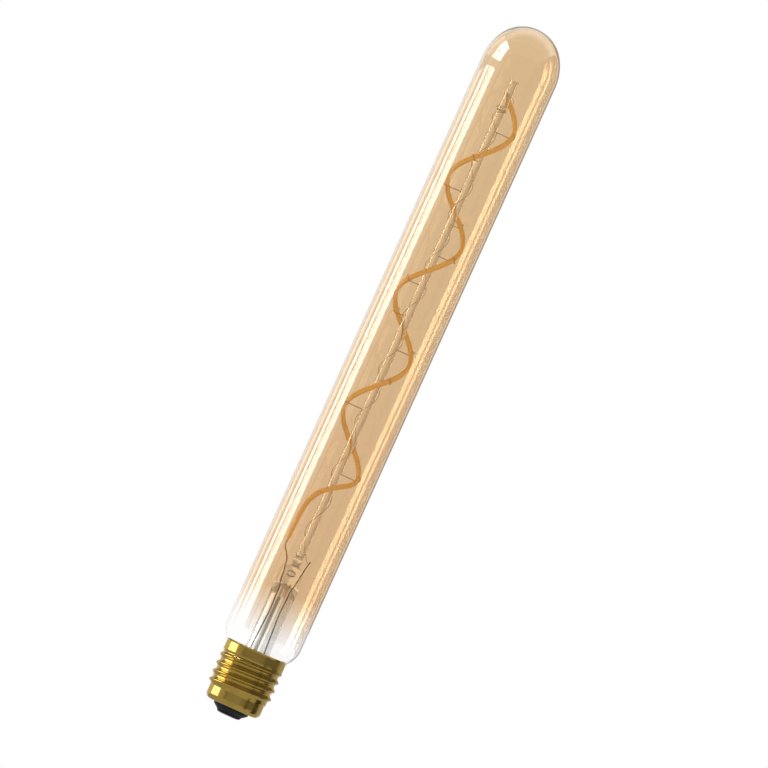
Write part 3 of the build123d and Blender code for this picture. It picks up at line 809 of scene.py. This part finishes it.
# Cards of the studio: panels that only reflections see, or only what the thick glass of the stem bends, so
# they light no surface and don't show through the plain tube. The rays that see a card have more reflections
# than the first number, more passes of glass than the second and fewer than the third, and the sharpness that
# the last gives: 1 off polished glass, 0 off satin metal, None either
seenBy = {"frontWall": (0.5, -0.5, 3.5, 1), "innerFace": (0.5, 1.5, 3.5, None),
          "shallow": (0.5, -0.5, 4.5, None), "backWall": (0.5, 3.5, 6.5, None), "bent": (-0.5, 5.5, 99, None),
          "deep": (-0.5, 9.5, 99, None), "satin": (0.5, -0.5, 0.5, 0)}
lightPath = "ShaderNodeLightPath"


def makeCard(name, points, faces, strength, rays="shallow", colour=(1, 1, 1)):
    reflections, leastPasses, mostPasses, sharpness = seenBy[rays]
    paint = Paint(name)
    glossy, passes, diffuse = (paint.make(lightPath, out=kind + " Depth")
                               for kind in ("Glossy", "Transmission", "Diffuse"))
    seen = (glossy > reflections) * (passes > leastPasses) * (passes < mostPasses) * (diffuse < 0.5)
    if sharpness is not None:
        sharp = paint.make(lightPath, out="Is Singular Ray")
        seen = seen * (sharp if sharpness else 1 - sharp)
    glow = paint.make("ShaderNodeEmission", None, {"Color": (*colour, 1), "Strength": strength})
    gone = paint.make("ShaderNodeBsdfTransparent")
    both = paint.make("ShaderNodeMixShader", None, {0: seen, 1: gone, 2: glow})
    material = paint.make("ShaderNodeOutputMaterial", None, {"Surface": both})
    material.cycles.emission_sampling = "NONE"
    mesh = bpy.data.meshes.new(name)
    mesh.from_pydata(points, [], faces)
    mesh.materials.append(material)
    card = bpy.data.objects.new(name, mesh)
    scene.collection.objects.link(card)
    card.visible_camera = card.visible_diffuse = card.visible_shadow = False


def panel(name, axis, place, first, second, *light):
    # a flat card square to one axis, its reach along the other two in their order, its strength, rays, colour
    corners = [(first[0], second[0]), (first[1], second[0]), (first[1], second[1]), (first[0], second[1])]
    points = np.insert(np.array(corners, float), "XYZ".index(axis), place, axis=1)
    makeCard(name, points.tolist(), [(0, 1, 2, 3)], *light)


def stripRow(name, x, z, strips, rays):  # panels side by side, each strip (near, far, strength)
    for i, (near, far, strength) in enumerate(strips):
        panel(f"{name}{i + 1}", "X", x, (near, far), z, strength, rays)


# The softbox on the left: a lower and an upper bank of strips, and what the tube's back wall shows of them
bank = {"x": -1.0, "lower": (-0.5, 0.292), "upper": (0.36, 0.97), "inner": (-0.32, 0.65),
        "lowerStrips": [(-0.35, 0.009, 10.0), (0.132, 0.27, 10.0), (0.27, 0.56, 1.6), (0.56, 0.92, 2.8)],
        "upperStrips": [(-0.45, 0.17, 15.0), (0.17, 0.92, 1.9)],
        "innerStrips": [(-0.19, 0.144, 10.0), (0.323, 0.6, 9.0), (0.66, 1.7, 0.25), (1.7, 3.7, 1.2)]}
for level, rays in (("lower", "frontWall"), ("upper", "frontWall"), ("inner", "backWall")):
    stripRow(level + "Strip", bank["x"], bank[level], bank[level + "Strips"], rays)

# The room round the lamp: dim in front and on the right, brighter overhead, with flags that draw dark edges
roomCards = {"bankGap": ("X", bank["x"], (-0.35, 0.27), (0.292, 0.36), 1.5, "frontWall"),
             "frontCard": ("Y", -2.0, (-3, 3), (-2, 1.75), 0.21),
             "topCard1": ("Z", 2.0, (-2.5, 2.5), (-4, -0.6), 0.5),
             "topCard2": ("Z", 2.0, (-2.5, 2.5), (-0.6, 0.1), 0.7),
             "topCard3": ("Z", 2.0, (-2.5, 2.5), (0.1, 0.5), 1.2),
             "topCard4": ("Z", 2.0, (-2.5, 2.5), (0.5, 1.5), 1.6),
             "rightCard": ("X", 1.6, (-1.2, 2.0), (-2, 1.6), 0.22),
             "cornerFlag": ("X", 1.2, (-1.5, 0.1), (-1, 1.2), 0.11),
             "rightFlag": ("Y", 3.0, (0.25, 1.7), (0.012, 1.9), 0.5, "shallow", (1, 0.72, 0.46)),
             "rightFlagLow": ("Y", 3.0, (0.25, 1.7), (-2, 0.012), 0.55),
             "topFlag": ("Y", 3.0, (-1.2, 0.25), (0.65, 1.9), 0.45),
             "floorCard": ("Z", -0.09, (-0.9, 0.9), (-0.9, 0.3), 0.36),
             "floorLeftCard": ("Z", -0.085, (-0.9, -0.05), (-0.5, 0.5), 3.4, "innerFace"),
             "floorRightCard": ("Z", -0.085, (-0.05, 0.9), (-0.5, 0.5), 1.4, "innerFace")}
for name, card in roomCards.items():
    panel(name, *card)

# What the satin cap shows: a hood round the tube that keeps the top off it, its sides, and its lower band
cap = {"hoodLevel": 0.1461, "hoodReach": (0.25, 0.0175), "hoodStrength": 0.1, "height": (-0.5, 0.97),
       "leftX": -0.98, "left": [(-0.886, -0.265, 0.35), (-0.265, 0.4, 3.0), (0.4, 2.5, 0.58)],
       "rightX": 1.1, "right": [(-1.4, 0.3, 0.14), (0.3, 0.62, 0.3), (0.62, 2.5, 0.42)],
       "bandCard": ("Y", -0.3, (-0.2, 0.12), (-0.1, 0.01), 0.31), "bandX": 0.15, "bandHeight": (-0.1, 0.009),
       "band": [(-0.143, -0.105, 0.04), (-0.02, 0.055, 0.04)]}
hood = [(reach * x, reach * y, cap["hoodLevel"]) for reach in cap["hoodReach"]
        for x, y in ((-1, -1), (1, -1), (1, 1), (-1, 1))]
hoodSides = [(0, 1, 5, 4), (1, 2, 6, 5), (2, 3, 7, 6), (3, 0, 4, 7)]
makeCard("capHood", hood, hoodSides, cap["hoodStrength"], "satin")
stripRow("capLeftCard", cap["leftX"], cap["height"], cap["left"], "satin")
stripRow("capRightCard", cap["rightX"], cap["height"], cap["right"], "satin")
panel("bandCard", *cap["bandCard"], "satin")
stripRow("bandFlag", cap["bandX"], cap["bandHeight"], cap["band"], "satin")

# What the inner walls show on the right, and what rod, pinch and stem tube bend into view
stemCards = {"innerStripNear": ("X", 1.15, (-1.526, -1.191), (-0.5, 0.3), 2.2, "backWall"),
             "innerStripFar": ("X", 1.15, (-1.072, -0.8355), (-0.5, 0.3), 2.2, "backWall"),
             "rodBrightCard": ("Y", 1.5, (-0.38, -0.012), (-1, 1.5), 1.2, "bent"),
             "rodDarkCard": ("Y", 1.5, (0.04, 2.5), (-1, 1.5), 0.85, "bent"),
             "bentSkyCard": ("Z", 0.45, (-2, 2), (0.05, 3), 0.55, "bent"),
             "bentGroundCard": ("Z", -0.25, (-2, 2), (0.05, 3), 1.5, "bent"),
             "tipCard": ("Z", 0.33, (-0.09, 0.09), (-0.09, 0.09), 0.1, "bent"),
             "deepBrightCard": ("Y", 1.4, (0.04, 1.4), (-1, 0.06), 1.6, "deep"),
             "deepDarkCard": ("Y", 1.4, (-1.4, -0.04), (-1, 0.06), 0.35, "deep"),
             "rodLeftCard": ("X", -2.6, (-3, 1.5), (-1, 1.5), 0.3, "bent"),
             "rodRightCard": ("X", 1.6, (-3, 1.5), (-1, 1.5), 0.3, "bent")}
for name, card in stemCards.items():
    panel(name, *card)
print("camera and cards placed")

# Soft studio light: the world is white to the eye and in glass, and a little dimmer where it lights a surface
studio = {"dim": 0.7, "white": 1.0, "bounces": 24}
lights = {"keyLight": ((-1.4, -1.0, 1.2), 1.0, 14.0),  # place, size, power
          "fillLight": ((1.5, -1.2, 0.8), 1.2, 6.0)}
world = bpy.data.worlds.new("studio")
scene.world = world
paint = Paint("studio", world)
larger = {"operation": "MAXIMUM"}
shown = paint.make("ShaderNodeMath", larger, {0: paint.make(lightPath, out="Is Glossy Ray"),
                                              1: paint.make(lightPath, out="Is Transmission Ray")})
shown = paint.make("ShaderNodeMath", larger, {0: paint.make(lightPath, out="Is Camera Ray"), 1: shown})
dim, white = (paint.make("ShaderNodeBackground", None, {"Color": (1, 1, 1, 1), "Strength": studio[level]})
              for level in ("dim", "white"))
both = paint.make("ShaderNodeMixShader", None, {0: shown, 1: dim, 2: white})
paint.make("ShaderNodeOutputWorld", None, {"Surface": both})


def softLamp(name, place, size, power):  # a square area lamp that looks at the middle of the lamp
    light = bpy.data.lights.new(name, "AREA")
    light.shape, light.size, light.energy = "SQUARE", size, power
    piece = bpy.data.objects.new(name, light)
    back = unit(np.array(place) - np.array([0, 0, lamp["length"] / 2 * mm]))
    side = unit(np.cross([0, 0, 1.0], back))
    turned = np.stack([side, np.cross(back, side), back], -1)
    piece.matrix_world = Matrix([[*row, p] for row, p in zip(turned, place)] + [[0, 0, 0, 1]])
    piece.visible_camera = piece.visible_glossy = piece.visible_transmission = False
    scene.collection.objects.link(piece)


for name, light in lights.items():
    softLamp(name, *light)

# Plain pale floor below the lamp, a disc
ground = {"radius": 0.55, "level": -0.1, "sides": 96, "dark": (0.84, 0.84, 0.84), "light": (0.87, 0.87, 0.87),
          "grainScale": 30.0, "grainEdge": 0.4, "rough": 0.9}
paint = Paint("paleFloor")
grain = paint.mottle(paint.noise(ground["grainScale"]), ground["dark"], ground["light"], ground["grainEdge"])
floorPaint = paint.principled(Base_Color=grain, Roughness=ground["rough"])
ring = roundSection(ground["radius"], ground["sides"])
mesh = bpy.data.meshes.new("floor")
mesh.from_pydata(np.insert(ring, 2, ground["level"], axis=1).tolist(), [], [list(range(ground["sides"]))])
mesh.materials.append(floorPaint)
floorDisc = bpy.data.objects.new("floor", mesh)
scene.collection.objects.link(floorDisc)
scene.view_settings.view_transform = "Standard"
scene.cycles.max_bounces = studio["bounces"]  # tube, stem and bore are many walls deep
scene.cycles.transmission_bounces = studio["bounces"]
print("light and floor placed")
